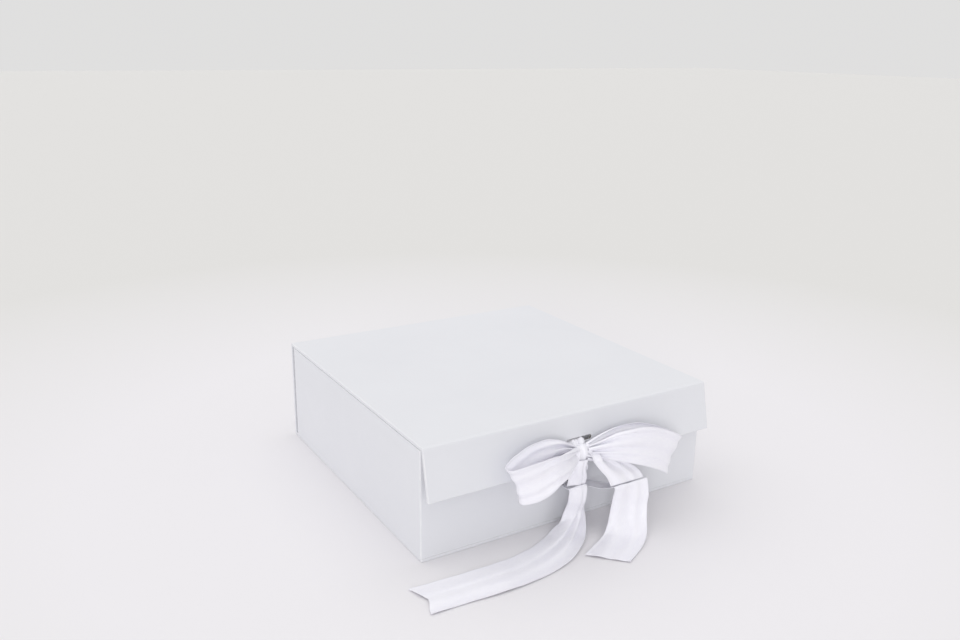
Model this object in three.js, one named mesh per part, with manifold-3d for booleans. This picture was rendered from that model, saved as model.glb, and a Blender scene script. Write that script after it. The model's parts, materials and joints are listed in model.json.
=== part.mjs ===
// Rigid book-style keepsake box with a hanging flap, hidden magnets and a ribbon bow.
// Millimetres, +Z up, -Y is the front. The origin is the centre of the box's underside.
import * as THREE from 'three';
import { mergeVertices } from 'three/addons/utils/BufferGeometryUtils.js';
import Module from 'manifold-3d';

const wasm = await Module();
wasm.setup();

// ---- Driving dimensions -------------------------------------------------------------
const TRAY_WIDTH = 305; // outside of the tray, along X
const BOX_DEPTH = 298; // front of the tray to the back of the spine, along Y
const BOX_HEIGHT = 105; // underside of the base to the top of the lid
const BOARD = 2; // greyboard
const PAPER = 0.4; // wrap and liner paper
const GLUE = 0.1; // glue line between paper and board
const PANEL = BOARD + 2 * (PAPER + GLUE); // a wrapped and lined board
const CASE_INSET = 0.5; // the case is this much narrower than the tray on each side
const TURN_IN = 4; // edge of the wrap that shows around a liner
const FIT = 0.2; // gap between a liner and the turned-in edge around it

const SPINE_GAP = 6; // air between the spine and the tray
const RIM_GAP = 0.3; // air between the tray's rim and the closed lid
const CREASE_SETBACK = 2; // from a fold's axis to the end of a board
const CREASE_RADIUS = 1;
const FLAP_STANDOFF = 4; // front of the tray to the outer face of the closed flap
const FLAP_LENGTH = 44.5; // fold's axis to the flap's lower edge
const FLAP_REST_DEG = 12; // the flap hangs this far open

const STAY = 0.3; // corner stay tape
const STAY_LEG = 12;
const WALL = 2 * PAPER + STAY + 3 * GLUE + BOARD; // a wrapped, taped and lined tray wall
const RIM_TURN_IN = 16; // wrap turned over the rim into the tray
const BASE_TURN_IN = 15; // wrap turned under the tray

const SLOT_WIDTH = 27;
const SLOT_HEIGHT = 4;
const FLAP_SLOT_DROP = 23; // fold's axis to the middle of the flap's slot
const WALL_SLOT_HEIGHT = 37; // underside of the box to the middle of the wall's slot

const MAGNET_RADIUS = 7;
const PLATE_RADIUS = 8;
const DISC_THICKNESS = 1.6;
const POCKET_GAP = 0.3; // around a magnet or plate in its pocket
const MAGNET_SPREAD = 110; // from the middle of the box
const MAGNET_DROP = 35; // fold's axis to the magnets

const RIBBON = 38; // ribbon width
const RIBBON_THICKNESS = 0.8;

// ---- Places that follow from them ---------------------------------------------------
const FRONT = -BOX_DEPTH / 2;
const BACK = BOX_DEPTH / 2;
const CASE_WIDTH = TRAY_WIDTH - 2 * CASE_INSET;
const TRAY_BACK = BACK - PANEL - SPINE_GAP;
const TRAY_BOTTOM = PANEL + GLUE;
const RIM = BOX_HEIGHT - PANEL - RIM_GAP;
const HINGE_Y = BACK - PANEL / 2; // both rear folds
const BASE_FOLD_Z = PANEL / 2;
const LID_FOLD_Z = BOX_HEIGHT - PANEL / 2;
const FLAP_FOLD_Y = FRONT - FLAP_STANDOFF + PANEL / 2;
const FLAP_REST = THREE.MathUtils.degToRad(FLAP_REST_DEG);

// ---- Materials ----------------------------------------------------------------------
function finish(color, roughness, metalness = 0) {
  return new THREE.MeshStandardMaterial({ color, roughness, metalness });
}
const WHITE_PAPER = finish(0xe9e9ee, 0.55);
const LINER_PAPER = finish(0xf1f0ee, 0.7);
const GREYBOARD = finish(0x9b9489, 0.9);
const STAY_TAPE = finish(0xc9b184, 0.85);
const STEEL = finish(0xb8babd, 0.35, 1);
const SATIN = finish(0xf3f1f8, 0.4);

const box = new THREE.Group();

function addMesh(parent, name, geometry, material) {
  const mesh = new THREE.Mesh(geometry, material);
  mesh.name = name;
  parent.add(mesh);
  return mesh;
}

// ---- Solids -------------------------------------------------------------------------
function toManifold(geometry) {
  const bare = geometry.clone();
  bare.deleteAttribute('normal');
  bare.deleteAttribute('uv');
  const merged = mergeVertices(bare, 1e-4);
  return new wasm.Manifold(new wasm.Mesh({
    numProp: 3,
    vertProperties: new Float32Array(merged.attributes.position.array),
    triVerts: new Uint32Array(merged.index.array),
  }));
}

function toGeometry(solid) {
  const mesh = solid.getMesh();
  const geometry = new THREE.BufferGeometry();
  geometry.setAttribute('position', new THREE.BufferAttribute(mesh.vertProperties, 3));
  geometry.setIndex(new THREE.BufferAttribute(mesh.triVerts, 1));
  return geometry;
}

// A block between two corners.
function block(x0, y0, z0, x1, y1, z1) {
  const geometry = new THREE.BoxGeometry(x1 - x0, y1 - y0, z1 - z0);
  geometry.translate((x0 + x1) / 2, (y0 + y1) / 2, (z0 + z1) / 2);
  return toManifold(geometry);
}

// A disc on the local Z axis, centred at (x, y, z).
function disc(radius, thickness, x, y, z) {
  const geometry = new THREE.CylinderGeometry(radius, radius, thickness, 32);
  geometry.rotateX(Math.PI / 2);
  geometry.translate(x, y, z);
  return toManifold(geometry);
}

// A round-ended slot along X at (x, y), cutting along Z from z0 to z1.
function slotCutter(x, y, z0, z1) {
  const r = SLOT_HEIGHT / 2;
  const half = SLOT_WIDTH / 2 - r;
  const outline = new THREE.Shape();
  outline.absarc(x + half, y, r, -Math.PI / 2, Math.PI / 2);
  outline.absarc(x - half, y, r, Math.PI / 2, (3 * Math.PI) / 2);
  const geometry = new THREE.ExtrudeGeometry(outline, {
    depth: z1 - z0, bevelEnabled: false, curveSegments: 8,
  });
  geometry.translate(0, 0, z0);
  return toManifold(geometry);
}

// ---- Case panels --------------------------------------------------------------------
// A panel lies on local XY: X across, Y from 0 to its length, inner face at Z = 0 and
// outer face at Z = PANEL. The wrap covers the outside and the edges, and shows as a
// narrow border around the liner inside.
function casePanel(name, length, { lined = true, slotAt, pocketsAt } = {}) {
  const group = new THREE.Group();
  const half = CASE_WIDTH / 2;
  const skin = PAPER + GLUE;
  let board = block(-half + skin, skin, skin, half - skin, length - skin, PANEL - skin);
  let wrap = block(-half, 0, 0, half, length, PANEL)
    .subtract(block(-half + PAPER, PAPER, PAPER, half - PAPER, length - PAPER, PANEL - PAPER))
    .subtract(block(-half + TURN_IN, TURN_IN, -1, half - TURN_IN, length - TURN_IN, PAPER + GLUE));
  const edge = TURN_IN + FIT;
  let liner = block(-half + edge, edge, 0, half - edge, length - edge, PAPER);
  if (slotAt !== undefined) {
    const cutter = slotCutter(0, slotAt, -1, PANEL + 1);
    board = board.subtract(cutter);
    wrap = wrap.subtract(cutter);
    liner = liner.subtract(cutter);
  }
  if (pocketsAt !== undefined) {
    for (const side of [-1, 1]) {
      const radius = MAGNET_RADIUS + POCKET_GAP;
      board = board.subtract(disc(radius, 2 * PANEL, side * MAGNET_SPREAD, pocketsAt, PANEL / 2));
    }
  }
  addMesh(group, `${name}_board`, toGeometry(board), GREYBOARD);
  addMesh(group, `${name}_wrap`, toGeometry(wrap), WHITE_PAPER);
  if (lined) addMesh(group, `${name}_liner`, toGeometry(liner), LINER_PAPER);
  return group;
}

// The strip of wrap that bends at a fold, kept as a thin round bead on the fold's axis.
function crease(name) {
  const geometry = new THREE.CylinderGeometry(CREASE_RADIUS, CREASE_RADIUS, CASE_WIDTH, 12);
  geometry.rotateZ(Math.PI / 2);
  return addMesh(box, name, geometry, WHITE_PAPER);
}

// Base: inner face up, outer face on the table.
const base = casePanel('base', HINGE_Y - CREASE_SETBACK - FRONT, { lined: false });
base.rotation.y = Math.PI;
base.position.set(0, FRONT, PANEL);
box.add(base);

// Spine: upright behind the tray, outer face to the back.
const spine = casePanel('spine', LID_FOLD_Z - BASE_FOLD_Z - 2 * CREASE_SETBACK);
spine.rotation.x = -Math.PI / 2;
spine.position.set(0, BACK - PANEL, LID_FOLD_Z - CREASE_SETBACK);
box.add(spine);

// Lid: outer face up.
const lidFront = FLAP_FOLD_Y + CREASE_SETBACK;
const lid = casePanel('lid', HINGE_Y - CREASE_SETBACK - lidFront);
lid.position.set(0, lidFront, BOX_HEIGHT - PANEL);
box.add(lid);

crease('base_crease').position.set(0, HINGE_Y, BASE_FOLD_Z);
crease('lid_crease').position.set(0, HINGE_Y, LID_FOLD_Z);
crease('flap_crease').position.set(0, FLAP_FOLD_Y, LID_FOLD_Z);

// Flap: a frame on its fold, with -Z down the flap and -Y out of its outer face.
const flapFrame = new THREE.Group();
flapFrame.position.set(0, FLAP_FOLD_Y, LID_FOLD_Z);
flapFrame.rotation.x = -FLAP_REST;
box.add(flapFrame);

const flap = casePanel('flap', FLAP_LENGTH - CREASE_SETBACK, {
  slotAt: FLAP_SLOT_DROP - CREASE_SETBACK,
  pocketsAt: MAGNET_DROP - CREASE_SETBACK,
});
flap.rotation.set(-Math.PI / 2, Math.PI, 0);
flap.position.set(0, PANEL / 2, -CREASE_SETBACK);
flapFrame.add(flap);

// ---- Magnets and plates -------------------------------------------------------------
function discAlongY(radius) {
  return new THREE.CylinderGeometry(radius, radius, DISC_THICKNESS, 32);
}
for (const [side, label] of [[-1, 'left'], [1, 'right']]) {
  addMesh(flapFrame, `flap_magnet_${label}`, discAlongY(MAGNET_RADIUS), STEEL)
    .position.set(side * MAGNET_SPREAD, 0, -MAGNET_DROP);
  addMesh(box, `strike_plate_${label}`, discAlongY(PLATE_RADIUS), STEEL)
    .position.set(side * MAGNET_SPREAD, FRONT + WALL - PAPER - GLUE - BOARD / 2,
      LID_FOLD_Z - MAGNET_DROP);
}

// ---- Tray ---------------------------------------------------------------------------
// A block inset from the tray's outside by the same amount on all four sides.
function trayBlock(inset, z0, z1) {
  const half = TRAY_WIDTH / 2 - inset;
  return block(-half, FRONT + inset, z0, half, TRAY_BACK - inset, z1);
}
function trayRing(outer, inner, z0, z1) {
  return trayBlock(outer, z0, z1).subtract(trayBlock(inner, z0 - 1, z1 + 1));
}
// The wall's slot, cut along Y through the front.
function wallSlot() {
  return slotCutter(0, WALL_SLOT_HEIGHT, -WALL - 1, 1)
    .rotate([90, 0, 0]).translate([0, FRONT, 0]);
}

const boardInner = WALL - PAPER - GLUE; // from the outside to the board's inner face
const boardOuter = boardInner - BOARD;
const wallFoot = TRAY_BOTTOM + PAPER + GLUE;
const wallTop = RIM - PAPER - GLUE;
const floorTop = wallFoot + BOARD;
const halfOuter = TRAY_WIDTH / 2 - boardOuter;
const halfInner = TRAY_WIDTH / 2 - boardInner;

let frontWall = block(-halfInner + GLUE, FRONT + boardOuter, wallFoot,
  halfInner - GLUE, FRONT + boardInner, wallTop).subtract(wallSlot());
for (const side of [-1, 1]) {
  const pocket = disc(PLATE_RADIUS + POCKET_GAP, 2 * WALL, 0, 0, 0).rotate([90, 0, 0])
    .translate([side * MAGNET_SPREAD, FRONT, LID_FOLD_Z - MAGNET_DROP]);
  frontWall = frontWall.subtract(pocket);
}
addMesh(box, 'tray_front_wall', toGeometry(frontWall), GREYBOARD);
addMesh(box, 'tray_back_wall', toGeometry(block(-halfInner + GLUE, TRAY_BACK - boardInner, wallFoot,
  halfInner - GLUE, TRAY_BACK - boardOuter, wallTop)), GREYBOARD);
for (const [side, label] of [[-1, 'left'], [1, 'right']]) {
  const x0 = Math.min(side * halfInner, side * halfOuter);
  addMesh(box, `tray_${label}_wall`, toGeometry(block(x0, FRONT + boardOuter, wallFoot,
    x0 + BOARD, TRAY_BACK - boardOuter, wallTop)), GREYBOARD);
}
addMesh(box, 'tray_floor_board',
  toGeometry(trayBlock(boardInner + GLUE, wallFoot, floorTop)), GREYBOARD);

// Paper stays taped around the outside of each corner, under the wrap.
for (const [sideY, end] of [[-1, 'front'], [1, 'back']]) {
  for (const [sideX, label] of [[-1, 'left'], [1, 'right']]) {
    const outer = PAPER + GLUE;
    const corner = trayRing(outer, outer + STAY, wallFoot + 1, wallTop - 1);
    const x = sideX * (TRAY_WIDTH / 2 - outer);
    const y = sideY < 0 ? FRONT + outer : TRAY_BACK - outer;
    const keep = block(x - STAY_LEG, y - STAY_LEG, 0, x + STAY_LEG, y + STAY_LEG, BOX_HEIGHT);
    addMesh(box, `corner_stay_${end}_${label}`, toGeometry(corner.intersect(keep)), STAY_TAPE);
  }
}

const trayWrap = trayBlock(0, TRAY_BOTTOM, RIM)
  .subtract(trayBlock(PAPER, TRAY_BOTTOM + PAPER, RIM - PAPER))
  .subtract(trayBlock(BASE_TURN_IN, TRAY_BOTTOM - 1, TRAY_BOTTOM + 2 * PAPER))
  .subtract(trayBlock(WALL, RIM - 2 * PAPER, RIM + 1))
  .add(trayRing(WALL - PAPER, WALL, RIM - RIM_TURN_IN, RIM - PAPER / 2))
  .subtract(wallSlot());
addMesh(box, 'tray_wrap', toGeometry(trayWrap), WHITE_PAPER);

const floorLinerTop = floorTop + GLUE + PAPER;
const wallLiner = trayRing(WALL - PAPER, WALL, floorLinerTop + GLUE, RIM - RIM_TURN_IN - FIT)
  .subtract(wallSlot());
addMesh(box, 'tray_wall_liner', toGeometry(wallLiner), LINER_PAPER);
addMesh(box, 'tray_floor_liner',
  toGeometry(trayBlock(WALL - PAPER + GLUE, floorTop + GLUE, floorLinerTop)), LINER_PAPER);

// ---- Ribbon -------------------------------------------------------------------------
// A stretch of ribbon through hand-placed stations: [x, y, z], the direction across the
// ribbon, and its gathered width there.
function ribbonGeometry(stations, steps) {
  const centre = new THREE.CatmullRomCurve3(stations.map((s) => new THREE.Vector3(...s.at)));
  const across = new THREE.CatmullRomCurve3(stations.map(
    (s) => new THREE.Vector3(...s.across).normalize().multiplyScalar(s.width / 2)));
  const positions = [];
  const index = [];
  for (let i = 0; i <= steps; i += 1) {
    const c = centre.getPoint(i / steps);
    const a = across.getPoint(i / steps);
    const normal = centre.getTangent(i / steps).cross(a).normalize()
      .multiplyScalar(RIBBON_THICKNESS / 2);
    for (const [sa, sn] of [[-1, -1], [1, -1], [1, 1], [-1, 1]]) {
      const p = c.clone().addScaledVector(a, sa).addScaledVector(normal, sn);
      positions.push(p.x, p.y, p.z);
    }
    if (i === steps) break;
    for (let k = 0; k < 4; k += 1) {
      const a0 = 4 * i + k;
      const b0 = 4 * i + ((k + 1) % 4);
      index.push(a0, b0, b0 + 4, a0, b0 + 4, a0 + 4);
    }
  }
  const last = 4 * steps;
  index.push(0, 2, 1, 0, 3, 2, last, last + 1, last + 2, last, last + 2, last + 3);
  const geometry = new THREE.BufferGeometry();
  geometry.setAttribute('position', new THREE.Float32BufferAttribute(positions, 3));
  geometry.setIndex(index);
  return geometry;
}
function ribbon(parent, name, stations, steps) {
  return addMesh(parent, name, ribbonGeometry(stations, steps), SATIN);
}
const station = (at, across, width) => ({ at, across, width });

// The end that comes out through the flap's slot, glued above it on the inside. Its
// coordinates are in the flap's frame.
const LEAD_X = -2.5;
const flapInside = PANEL / 2 + GLUE + RIBBON_THICKNESS / 2;
ribbon(flapFrame, 'flap_ribbon_lead', [
  station([LEAD_X, flapInside, -9], [1, 0, 0], 17),
  station([LEAD_X, flapInside, -15], [1, 0, 0], 17),
  station([LEAD_X, flapInside, -19.5], [1, 0, 0], 17),
  station([LEAD_X, flapInside, -21], [1, 0, 0], 17),
  station([LEAD_X, 1.3, -22.4], [1, 0, 0], 17),
  station([LEAD_X, -0.2, -23.2], [1, 0, 0], 17),
  station([LEAD_X, -1.6, -23.4], [1, 0, 0], 16.5),
  station([LEAD_X - 1, -3.4, -24.6], [1, 0, 0], 15.5),
  station([LEAD_X - 2, -4.4, -26], [1, 0, 0], 14),
], 28);

// The end that comes out through the wall's slot, glued below it inside the tray.
const WALL_LEAD_X = 2.5;
const wallInside = FRONT + WALL + GLUE + RIBBON_THICKNESS / 2;
ribbon(box, 'wall_ribbon_lead', [
  station([WALL_LEAD_X, wallInside, 18], [1, 0, 0], 20),
  station([WALL_LEAD_X, wallInside, 27], [1, 0, 0], 20),
  station([WALL_LEAD_X, wallInside, 34.8], [1, 0, 0], 20),
  station([WALL_LEAD_X, FRONT + WALL - 0.9, 36.9], [1, 0, 0], 20),
  station([WALL_LEAD_X, FRONT + 1, 37.2], [1, 0, 0], 20),
  station([WALL_LEAD_X, FRONT - 0.8, 37.2], [1, 0, 0], 20),
], 24);

// The bow rides on the flap: knot, two loops and two short tails.
const knot = new THREE.SphereGeometry(1, 20, 14);
knot.scale(11, 6, 7.5);
addMesh(box, 'bow_knot', knot, SATIN).position.set(-5, -166.7, 73);

ribbon(box, 'bow_loop_left', [
  station([-14.5, -170.8, 74], [0.05, 0.25, -1], 13),
  station([-30, -184.5, 77], [0.12, 0.18, -1], 24),
  station([-45, -190.5, 76], [0.2, 0.1, -1], 31),
  station([-60, -190.5, 71.5], [0.32, 0.02, -1], 36),
  station([-73, -186.5, 67.5], [0.4, 0, -1], RIBBON),
  station([-80.6, -180.6, 65], [0.42, 0, -1], RIBBON),
  station([-80.4, -175.5, 65.5], [0.42, 0, -1], RIBBON),
  station([-73, -171.5, 70], [0.36, 0.06, -1], RIBBON),
  station([-58, -169, 76], [0.24, 0.12, -1], 36),
  station([-42, -167.6, 79.5], [0.16, 0.18, -1], 31),
  station([-19, -165.2, 76], [0.05, 0.21, -1], 13),
], 56);
ribbon(box, 'bow_loop_right', [
  station([4.5, -170.8, 74], [0.05, 0.25, -1], 13),
  station([23, -183, 79], [-0.06, 0.2, -1], 28),
  station([46, -188, 76.5], [-0.15, 0.1, -1], 36.5),
  station([74, -185.5, 65], [-0.3, 0, -1], RIBBON),
  station([94, -179.5, 53], [-0.4, 0, -1], RIBBON),
  station([96.5, -174.5, 51.5], [-0.4, 0, -1], RIBBON),
  station([88, -170.4, 57], [-0.36, 0.08, -1], RIBBON),
  station([66, -168.8, 68], [-0.26, 0.14, -1], 36),
  station([44, -167.6, 76], [-0.16, 0.18, -1], 31),
  station([9, -165.2, 75], [0, 0.21, -1], 13),
], 56);
ribbon(box, 'bow_tail_left', [
  station([-8, -168.6, 64], [1, 0, 0], 12),
  station([-7, -169, 58], [1, 0, 0], 13.5),
  station([-6.4, -168.6, 50.5], [1, 0, 0], 14.5),
  station([-6.3, -167.8, 43.8], [1, 0, 0], 15),
], 12);
ribbon(box, 'bow_tail_right', [
  station([10, -172.5, 62.5], [0.9, 0, -0.43], 16),
  station([18.5, -175.4, 61], [0.97, -0.02, -0.2], 28),
  station([26, -178, 56], [0.99, 0, -0.1], 36),
  station([31.5, -183, 50], [1, 0, -0.04], RIBBON),
  station([33, -186.4, 44.6], [1, 0, 0], RIBBON),
], 20);

// The streamers come out of the wall's slot, arch just under the path that the bow's tails
// take as the flap shuts, and lie on the table, so they stay behind when the lid is lifted.
ribbon(box, 'streamer_left', [
  station([-2.7, -150.3, 37.3], [1, 0, 0], 9.4),
  station([-4, -154.5, 39.6], [1, 0, 0], 11),
  station([-5.3, -159.5, 40.8], [1, 0, 0], 13),
  station([-6.1, -163.6, 40.9], [1, 0, 0], 14.5),
  station([-6.4, -165.8, 39], [1, 0, 0], 14.8),
  station([-6.5, -166.8, 34], [1, 0, 0], 15),
  station([-6.5, -167, 26], [1, 0, 0], 15),
  station([-6.8, -166.8, 18], [1, -0.05, 0], 15.5),
  station([-9, -167.8, 9.5], [0.95, -0.35, 0], 18),
  station([-17, -174, 3.4], [0.75, -0.65, -0.1], 24),
  station([-31, -183.5, 2.2], [0.5, -0.87, 0], 31),
  station([-50, -193, 1.4], [0.28, -0.96, 0], 36),
  station([-78, -199.5, 0.8], [0.14, -0.99, 0], RIBBON),
  station([-112, -202, 1.6], [-0.03, -1, 0], RIBBON),
  station([-146, -199.5, 0.8], [-0.08, -1, 0], RIBBON),
  station([-179, -198.5, 1.2], [0, -1, 0], 36),
], 64);
ribbon(box, 'streamer_right', [
  station([7.7, -150.3, 37.2], [1, 0, 0], 9.4),
  station([9, -156, 37], [1, 0, 0], 11.5),
  station([14.5, -163, 36.6], [1, -0.05, 0], 16),
  station([21.5, -170, 36.7], [1, -0.05, 0], 23),
  station([27.5, -175.5, 37.9], [1, -0.03, 0], 30),
  station([31.5, -180.2, 39.8], [1, -0.05, 0], 35),
  station([33.2, -184, 41], [1, -0.1, 0], 37),
  station([33.9, -187.2, 38.6], [1, -0.12, 0], RIBBON),
  station([33.9, -189.4, 32], [1, -0.15, 0], RIBBON),
  station([32.4, -191.4, 21.5], [1, -0.18, 0], RIBBON),
  station([29, -194.5, 10.5], [0.96, -0.28, 0], RIBBON),
  station([22.5, -201, 3.4], [0.85, -0.5, 0], RIBBON),
  station([11.5, -208.5, 1.2], [0.7, -0.7, 0], RIBBON),
  station([-3, -216, 0.8], [0.6, -0.8, 0], RIBBON),
  station([-17.5, -223.5, 1.1], [0.57, -0.82, 0], 36.5),
], 56);

export default box;
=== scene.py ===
"""Looks for the ribbon-tied keepsake box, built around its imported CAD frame.

Lengths in the tables are millimetres in the object's frame (+Z up, -Y front); MM turns
them into Blender's metres.
"""
import json
import math

import bmesh
import bpy
import numpy as np
from mathutils import Matrix, Vector


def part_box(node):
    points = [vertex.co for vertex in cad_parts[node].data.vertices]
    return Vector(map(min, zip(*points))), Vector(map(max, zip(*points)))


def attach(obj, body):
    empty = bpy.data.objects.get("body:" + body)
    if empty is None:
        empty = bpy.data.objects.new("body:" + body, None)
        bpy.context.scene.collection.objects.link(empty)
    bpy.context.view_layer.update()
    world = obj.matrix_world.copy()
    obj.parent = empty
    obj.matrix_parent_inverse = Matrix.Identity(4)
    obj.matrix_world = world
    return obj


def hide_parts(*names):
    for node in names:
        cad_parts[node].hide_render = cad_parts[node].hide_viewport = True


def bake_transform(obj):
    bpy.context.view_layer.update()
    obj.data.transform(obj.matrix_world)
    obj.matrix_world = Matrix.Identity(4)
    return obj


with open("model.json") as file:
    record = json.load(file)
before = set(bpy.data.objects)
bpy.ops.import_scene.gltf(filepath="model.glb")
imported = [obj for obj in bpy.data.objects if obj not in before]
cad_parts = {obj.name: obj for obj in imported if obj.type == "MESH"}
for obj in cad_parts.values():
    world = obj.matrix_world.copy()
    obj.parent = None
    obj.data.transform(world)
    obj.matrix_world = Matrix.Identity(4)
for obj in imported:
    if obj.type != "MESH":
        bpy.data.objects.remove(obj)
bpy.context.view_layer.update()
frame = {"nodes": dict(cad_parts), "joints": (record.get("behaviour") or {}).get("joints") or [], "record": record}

MM = 0.001
X, Y, Z = Vector((1, 0, 0)), Vector((0, 1, 0)), Vector((0, 0, 1))

# ---- Driving sizes, millimetres ------------------------------------------------------
PANEL = 3.0  # a wrapped and lined board
PAPER = 0.4  # wrap and liner paper
TURN_IN = 4.0  # wrap that shows around a liner
OUTER_RADIUS = 0.75  # how softly paper goes over a board's outer edge
INNER_RADIUS = 0.3  # and over its inner edge, or the tray's rim
CORNER_RADIUS = 0.7  # panel corners, seen face on
WEAR_AND_HIGHLIGHT_REACH = 1.6  # how far the edge wear and painted highlight fade into a face
TRAY_CORNER = 1.3  # tray's upright corners
CREASE_SETBACK = 2.0  # fold's axis to the end of a board
OVERLAP = 1.6  # fold's paper on over each board
OUTER_BEND, INNER_BEND = 0.58, 0.4  # how far the paper runs straight before it bends
PROUD = 0.02  # how far the fold's paper stands out of the board's
FLAP_REST = math.radians(12)
WALL = 3.4  # tray wall
RIM_TURN_IN = 16.0
BASE_TURN_IN = 15.0
SLOT_WIDTH, SLOT_HEIGHT = 27.0, 4.0
RIBBON = 38.0
RIBBON_THICKNESS = 0.28
FREE_PLEAT = 2.6  # most that half a loose pleat stands
MOST_SWING = 2.35  # radians that cloth may turn off its middle line in a pleat
SELVEDGE = 1.1
KNOT_RADIUS = 7.0  # for the length of cloth in a turn of the knot
LEAD_OFF = 0.38  # flat ribbon's middle to the flap's inside, clear of the wall when shut

# ---- Places read from the frame ------------------------------------------------------
JOINTS = {j["name"]: j for j in frame["joints"]}


def axis_of(joint):
    return Vector(JOINTS[joint]["pos_m"]) / MM


def node_box(node):
    low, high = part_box(node)
    return Vector(low) / MM, Vector(high) / MM


FLAP_AXIS = axis_of("flap_hinge")
LID_AXIS = axis_of("lid_hinge")
SPINE_AXIS = axis_of("spine_hinge")
TRAY_LOW, TRAY_HIGH = node_box("tray_wrap")
LID_LOW, LID_HIGH = node_box("lid_wrap")
BASE_LOW, BASE_HIGH = node_box("base_wrap")
SPINE_LOW, SPINE_HIGH = node_box("spine_wrap")
CASE_HALF = LID_HIGH.x
FLAP_END = 44.5  # fold's axis to the flap's lower edge
FLAP_SLOT_DROP = 23.0  # fold's axis to the flap's slot
WALL_SLOT_Z = 37.0


# ---- Camera, light and floor ---------------------------------------------------------
def look(azimuth, elevation, roll):
    """Columns right, up and back of a camera that looks along -back."""
    a, e, r = (math.radians(v) for v in (azimuth, elevation, roll))
    back = Vector((math.sin(a) * math.cos(e), -math.cos(a) * math.cos(e), math.sin(e)))
    right = (-back).cross(Z).normalized()
    up = right.cross(-back)
    turned = math.cos(r) * right + math.sin(r) * up
    return Matrix((turned, -math.sin(r) * right + math.cos(r) * up, back)).transposed()


def add_camera():
    data = bpy.data.cameras.new("camera")
    data.sensor_width = 36
    data.lens = 33.93
    camera = bpy.data.objects.new("camera", data)
    bpy.context.collection.objects.link(camera)
    camera.matrix_world = (
        Matrix.Translation(Vector((-453.7, -734.6, 413.7)) * MM)
        @ look(-31.27, 17.11, 0.73).to_4x4()
    )
    bpy.context.scene.camera = camera


def add_sun(name, toward, strength, softness):
    """A soft distant light that shines from the given direction."""
    data = bpy.data.lights.new(name, "SUN")
    data.energy = strength
    data.angle = math.radians(softness)
    light = bpy.data.objects.new(name, data)
    bpy.context.collection.objects.link(light)
    light.matrix_world = (-Vector(toward)).to_track_quat("-Z", "Y").to_matrix().to_4x4()


def add_light():
    """High-key studio: an even pale room, a key from beside the camera and a broad top light."""
    world = bpy.data.worlds.new("studio")
    world.use_nodes = True
    background = world.node_tree.nodes["Background"]
    background.inputs["Color"].default_value = (0.745, 0.742, 0.74, 1)
    background.inputs["Strength"].default_value = 1
    bpy.context.scene.world = world
    add_sun("key", (-0.6, -0.76, 0.27), 0.7, 20)
    add_sun("top", (-0.05, 0.3, 0.95), 0.74, 85)
    view = bpy.context.scene.view_settings
    view.view_transform = "Standard"
    view.look = "None"


# ---- Node helpers --------------------------------------------------------------------
class Shader:
    """A material whose Principled shader the calls below feed."""

    def __init__(self, name):
        self.material = bpy.data.materials.new(name)
        self.material.use_nodes = True
        self.nodes = self.material.node_tree.nodes
        self.links = self.material.node_tree.links
        self.bsdf = self.nodes["Principled BSDF"]
        self.output = self.nodes["Material Output"]

    def node(self, kind, **values):
        made = self.nodes.new(kind)
        for key, value in values.items():
            if hasattr(made, key):
                setattr(made, key, value)
            else:
                made.inputs[key.replace("_", " ")].default_value = value
        return made

    def link(self, source, target):
        self.links.new(source, target)

    def place(self, stretch=(1, 1, 1), uv=None):
        """Coordinates in metres: the object's own, or a UV map's."""
        if uv:
            source = self.node("ShaderNodeUVMap", uv_map=uv).outputs["UV"]
        else:
            source = self.node("ShaderNodeTexCoord").outputs["Object"]
        mapping = self.node("ShaderNodeMapping")
        mapping.inputs["Scale"].default_value = stretch
        self.link(source, mapping.inputs["Vector"])
        return mapping.outputs["Vector"]

    def noise(self, where, scale, detail=3.0, roughness=0.55):
        made = self.node("ShaderNodeTexNoise", Scale=scale, Detail=detail, Roughness=roughness)
        self.link(where, made.inputs["Vector"])
        return made.outputs["Fac"]

    def wave(self, where, scale, direction):
        made = self.node("ShaderNodeTexWave", Scale=scale, Distortion=0.0)
        made.bands_direction = direction
        self.link(where, made.inputs["Vector"])
        return made.outputs["Fac"]

    def ramp(self, value, stops):
        made = self.node("ShaderNodeValToRGB")
        low, high = made.color_ramp.elements
        low.position, low.color = stops[0][0], (*stops[0][1], 1)
        high.position, high.color = stops[-1][0], (*stops[-1][1], 1)
        for position, color in stops[1:-1]:
            made.color_ramp.elements.new(position).color = (*color, 1)
        self.link(value, made.inputs["Fac"])
        return made.outputs["Color"]

    def span(self, value, low, high, start=0.0, end=1.0):
        made = self.node("ShaderNodeMapRange")
        made.inputs["From Min"].default_value = start
        made.inputs["From Max"].default_value = end
        made.inputs["To Min"].default_value = low
        made.inputs["To Max"].default_value = high
        self.link(value, made.inputs["Value"])
        return made.outputs["Result"]

    def mix(self, factor, a, b, mode="MIX"):
        made = self.node("ShaderNodeMix", data_type="RGBA", blend_type=mode)
        for socket, value in ((0, factor), (6, a), (7, b)):
            if hasattr(value, "is_output"):
                self.link(value, made.inputs[socket])
            else:
                made.inputs[socket].default_value = value
        return made.outputs[2]

    def bump(self, height, distance, below=None):
        """Relief of the given height in metres, laid over the relief below it."""
        made = self.node("ShaderNodeBump", Strength=1.0, Distance=distance)
        self.link(height, made.inputs["Height"])
        if below:
            self.link(below, made.inputs["Normal"])
        return made.outputs["Normal"]


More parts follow.
